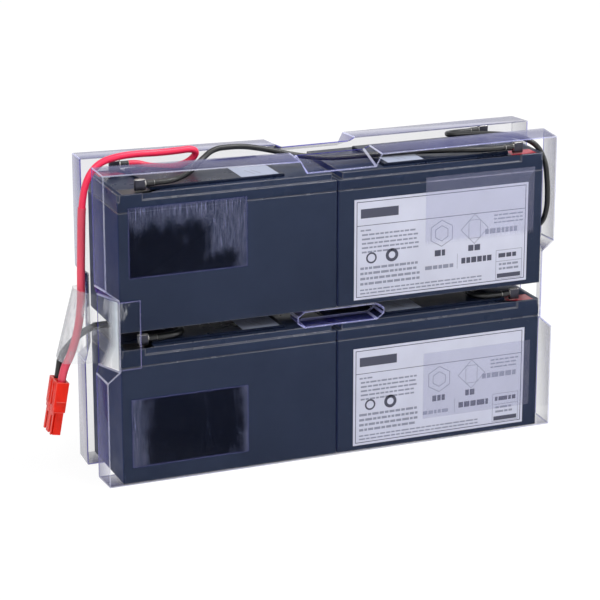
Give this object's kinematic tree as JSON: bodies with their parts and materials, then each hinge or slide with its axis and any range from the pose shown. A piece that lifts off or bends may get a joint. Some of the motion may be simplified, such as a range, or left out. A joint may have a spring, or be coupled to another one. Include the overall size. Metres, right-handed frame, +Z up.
{
  "type": "ups battery cartridge",
  "caption": "Plug-in block of sealed lead-acid batteries held between two clear thermoformed shells, wired in series to a red connector.",
  "frame": {"origin": "bottom centre of the cartridge without its free leads, on the surface it stands on", "axes": "+X along the long front towards the right, +Y from the labelled front to the back, +Z up"},
  "size_m": [0.3547, 0.0676, 0.2163],
  "materials": {
    "battery_case": "moulded ABS, fine grain",
    "battery_lid": "moulded ABS, smooth",
    "vent_cover": "moulded ABS, smooth",
    "terminal_blade": "tin plated",
    "receptacle": "tin plated, crimped",
    "black_seal": "cast resin",
    "red_seal": "cast resin",
    "sticker": "matt",
    "label": "satin printed film",
    "adhesive_film": "clear film, wetted in places",
    "clear_shell": "clear thermoformed sheet, bluish at its edges",
    "black_insulation": "satin wire insulation",
    "red_insulation": "satin wire insulation",
    "red_sleeve": "matt shrink sleeve",
    "red_housing": "moulded nylon",
    "contact_silver": "silver plated",
    "clear_tape": "clear film tape, creased"
  },
  "bodies": {
    "root": {"adhesive_lower_left": "adhesive_film", "adhesive_lower_right": "adhesive_film", "adhesive_upper_left": "adhesive_film", "adhesive_upper_right": "adhesive_film", "battery_case_lower_left": "battery_case", "battery_case_lower_right": "battery_case", "battery_case_upper_left": "battery_case", "battery_case_upper_right": "battery_case", "battery_lid_lower_left": "battery_lid", "battery_lid_lower_right": "battery_lid", "battery_lid_upper_left": "battery_lid", "battery_lid_upper_right": "battery_lid", "black_lead": "black_insulation", "connector_contact_black_lead": "contact_silver", "connector_contact_red_lead": "contact_silver", "connector_housing_black_lead": "red_housing", "connector_housing_red_lead": "red_housing", "front_label_lower": "label", "front_label_upper": "label", "front_shell": "clear_shell", "lead_tape": "clear_tape", "lid_sticker_lower_left": "sticker", "lid_sticker_lower_right": "sticker", "lid_sticker_upper_left": "sticker", "lid_sticker_upper_right": "sticker", "negative_receptacle_lower_left": "receptacle", "negative_receptacle_lower_right": "receptacle", "negative_receptacle_upper_left": "receptacle", "negative_receptacle_upper_right": "receptacle", "negative_seals": "black_seal", "negative_tab_lower_left": "terminal_blade", "negative_tab_lower_right": "terminal_blade", "negative_tab_upper_left": "terminal_blade", "negative_tab_upper_right": "terminal_blade", "positive_receptacle_lower_left": "receptacle", "positive_receptacle_lower_right": "receptacle", "positive_receptacle_upper_left": "receptacle", "positive_receptacle_upper_right": "receptacle", "positive_seals": "red_seal", "positive_tab_lower_left": "terminal_blade", "positive_tab_lower_right": "terminal_blade", "positive_tab_upper_left": "terminal_blade", "positive_tab_upper_right": "terminal_blade", "rear_adhesive": "adhesive_film", "rear_jumper": "black_insulation", "rear_shell": "clear_shell", "red_lead": "red_insulation", "red_lead_sleeve": "red_sleeve", "right_jumper": "black_insulation", "top_jumper": "black_insulation", "vent_cover_lower_left": "vent_cover", "vent_cover_lower_right": "vent_cover", "vent_cover_upper_left": "vent_cover", "vent_cover_upper_right": "vent_cover"}
  },
  "joints": []
}
